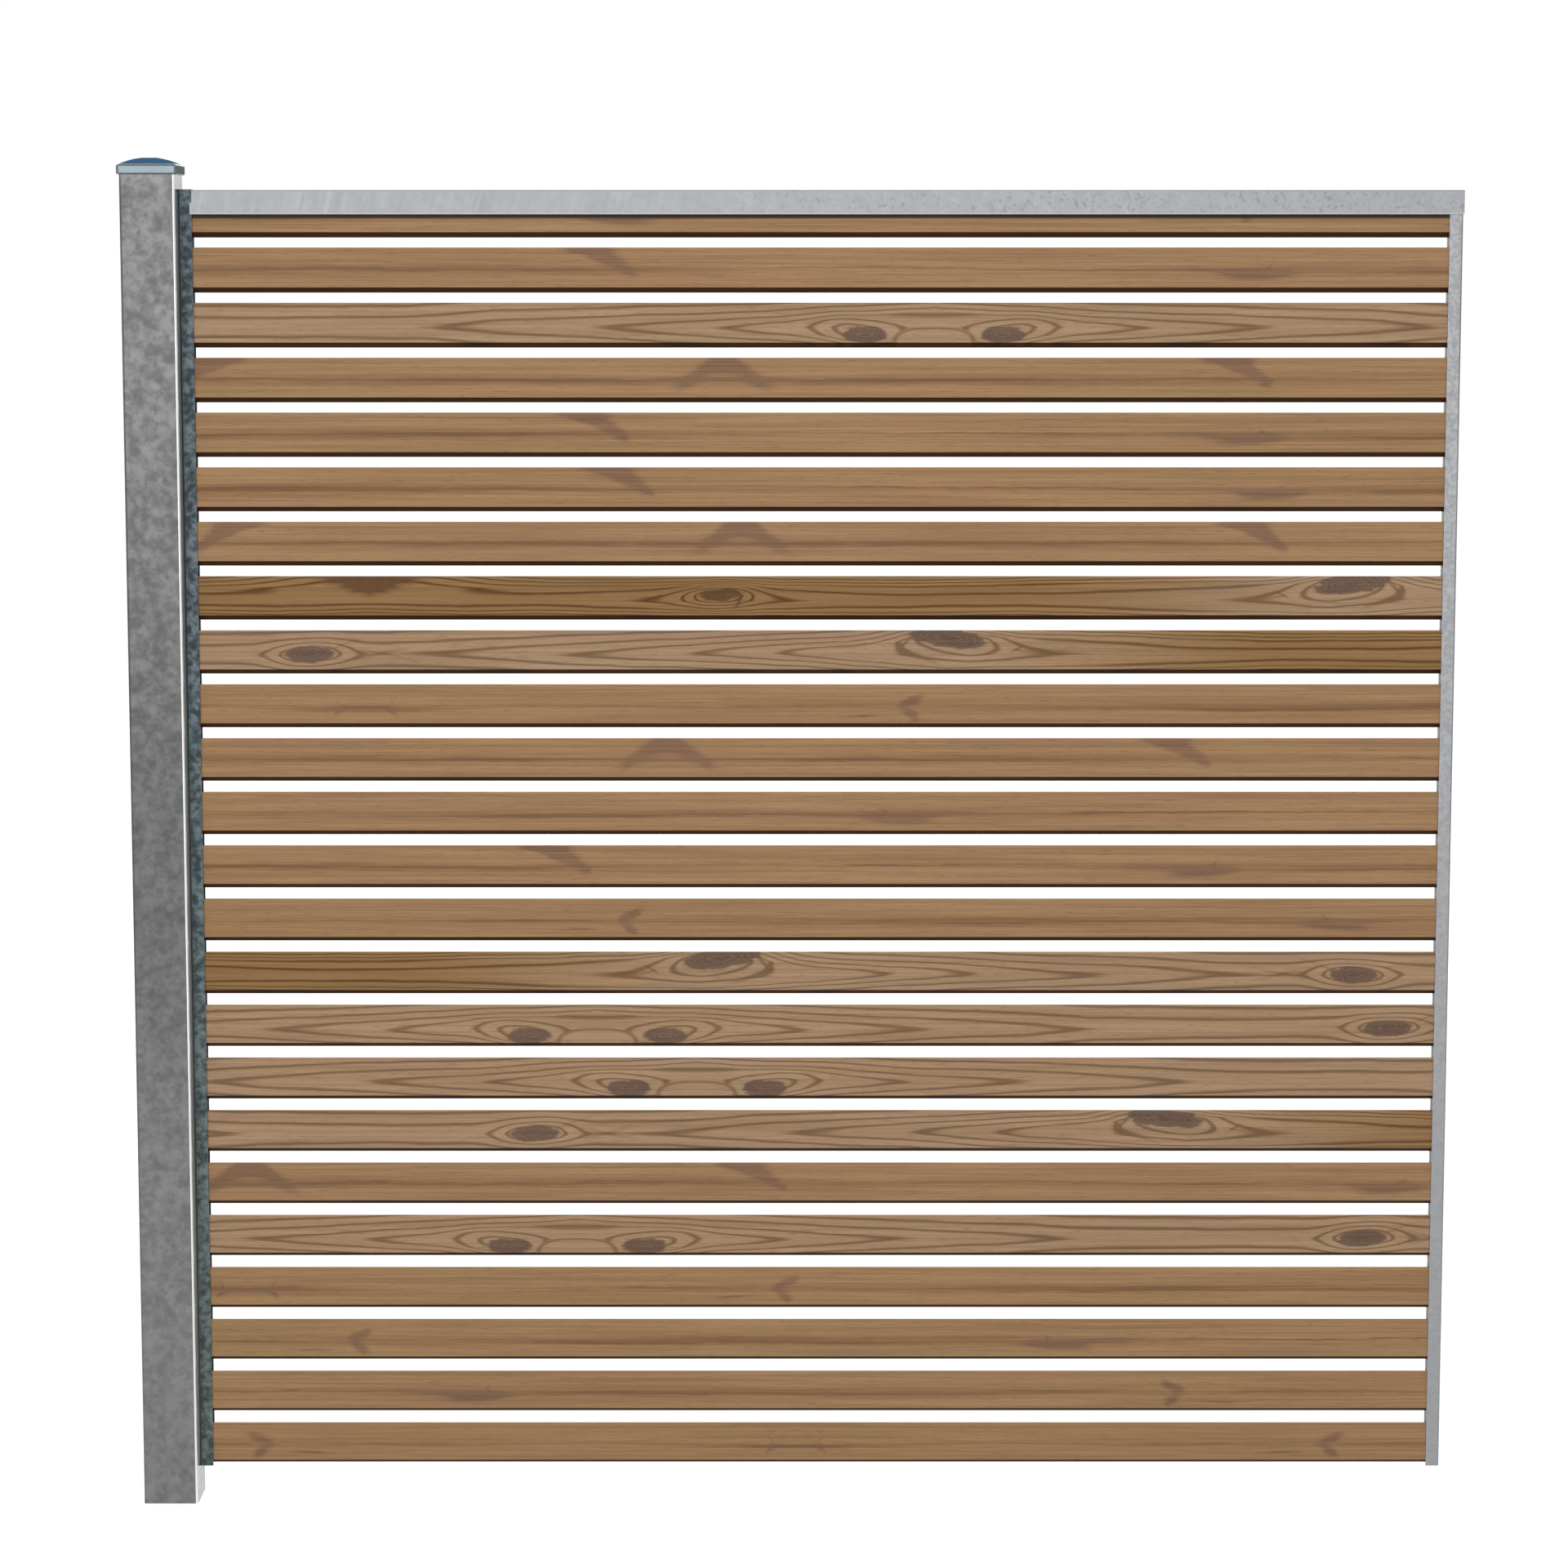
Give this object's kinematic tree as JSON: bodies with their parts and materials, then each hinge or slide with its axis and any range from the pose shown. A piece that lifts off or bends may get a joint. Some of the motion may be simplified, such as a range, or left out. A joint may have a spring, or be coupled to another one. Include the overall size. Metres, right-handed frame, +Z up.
{
  "type": "slatted fence panel with post",
  "caption": "Fence bay of horizontal timber slats with slanted edges, stacked in two steel channels under a steel rail and carried by a square hollow post with a domed cap.",
  "frame": {"origin": "centre of the post's foot, level with the ground", "axes": "+X from the post along the panel, -Y out of the seen front, +Z up the post"},
  "size_m": [1.8354, 0.0828, 1.8805],
  "materials": {
    "timber": "planed, oiled softwood with knots",
    "post_steel": "mottled hot-dip galvanised",
    "cap_steel": "smooth galvanised, bluish",
    "dark_channel_steel": "dark mottled galvanised",
    "light_channel_steel": "light satin galvanised",
    "rail_steel": "light satin galvanised with faint spangle",
    "spacer_plastic": "black moulded plastic",
    "screw_zinc": "bright zinc plated"
  },
  "bodies": {
    "bay": {"post": "post_steel", "left_channel": "dark_channel_steel", "right_channel": "light_channel_steel", "top_rail": "rail_steel", "spacers_left": "spacer_plastic", "spacers_right": "spacer_plastic", "bottom_pads": "spacer_plastic", "top_wedges": "spacer_plastic", "channel_screws": "screw_zinc", "rail_screws": "screw_zinc", "slat_01": "timber", "slat_02": "timber", "slat_03": "timber", "slat_04": "timber", "slat_05": "timber", "slat_06": "timber", "slat_07": "timber", "slat_08": "timber", "slat_09": "timber", "slat_10": "timber", "slat_11": "timber", "slat_12": "timber", "slat_13": "timber", "slat_14": "timber", "slat_15": "timber", "slat_16": "timber", "slat_17": "timber", "slat_18": "timber", "slat_19": "timber", "slat_20": "timber", "slat_21": "timber", "slat_22": "timber", "slat_23": "timber", "slat_24": "timber"},
    "cap": {"post_cap": "cap_steel"}
  },
  "joints": [
    {"name": "cap_lift", "type": "slide", "parent": "bay", "child": "cap", "axis": [0, 0, 1], "range_m": [0, 0.03]}
  ]
}
